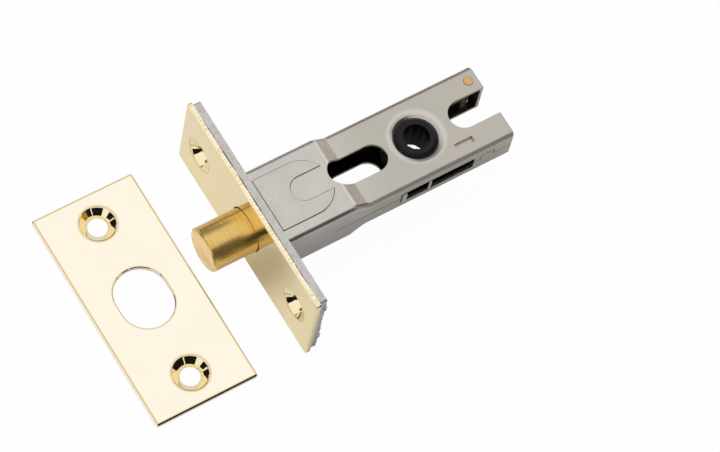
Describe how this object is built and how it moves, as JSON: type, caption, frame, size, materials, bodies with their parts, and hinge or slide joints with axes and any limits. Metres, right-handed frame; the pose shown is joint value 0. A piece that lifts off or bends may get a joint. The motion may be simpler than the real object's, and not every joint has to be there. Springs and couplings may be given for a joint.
{
  "type": "tubular privacy bolt",
  "caption": "Tubular mortice privacy bolt with a brass faceplate, a round bolt thrown by a spindle follower, and its flat keep plate.",
  "frame": {"origin": "on the axis of the follower that takes the spindle, half way through the case", "axes": "+X from the faceplate towards the rear of the case, so the bolt throws to -X; +Y along the forend; +Z along the spindle, out of the broad side of the case that is up when it lies on a table"},
  "size_m": [0.1038, 0.057, 0.025],
  "materials": {
    "polished_brass": "mirror polished and lacquered",
    "turned_brass": "fine turned, satin",
    "pressed_steel": "satin nickel plate",
    "sheared_steel": "zinc plate over sheared edges",
    "black_nylon": "moulded, low sheen",
    "spring_steel": "bright rolled strip"
  },
  "bodies": {
    "case": {"faceplate": "polished_brass", "forend_plate": "sheared_steel", "case_top": "pressed_steel", "case_bottom": "pressed_steel", "bolt_guide": "black_nylon", "rear_rivet": "turned_brass", "detent_spring": "spring_steel", "strike_plate": "polished_brass"},
    "bolt": {"bolt": "turned_brass", "bolt_tail": "pressed_steel", "tail_pin": "spring_steel"},
    "follower": {"follower": "black_nylon"}
  },
  "joints": [
    {"name": "bolt_slide", "type": "slide", "parent": "case", "child": "bolt", "axis": [1, 0, 0], "range_m": [0, 0.0113]},
    {"name": "follower_turn", "type": "hinge", "parent": "case", "child": "follower", "pos_m": [0, 0, 0], "axis": [0, 0, 1], "range_deg": [0, 90.01]}
  ],
  "couplings": [
    {"joint": "follower_turn", "follows": "bolt_slide", "rad_per_m": 139.01}
  ]
}
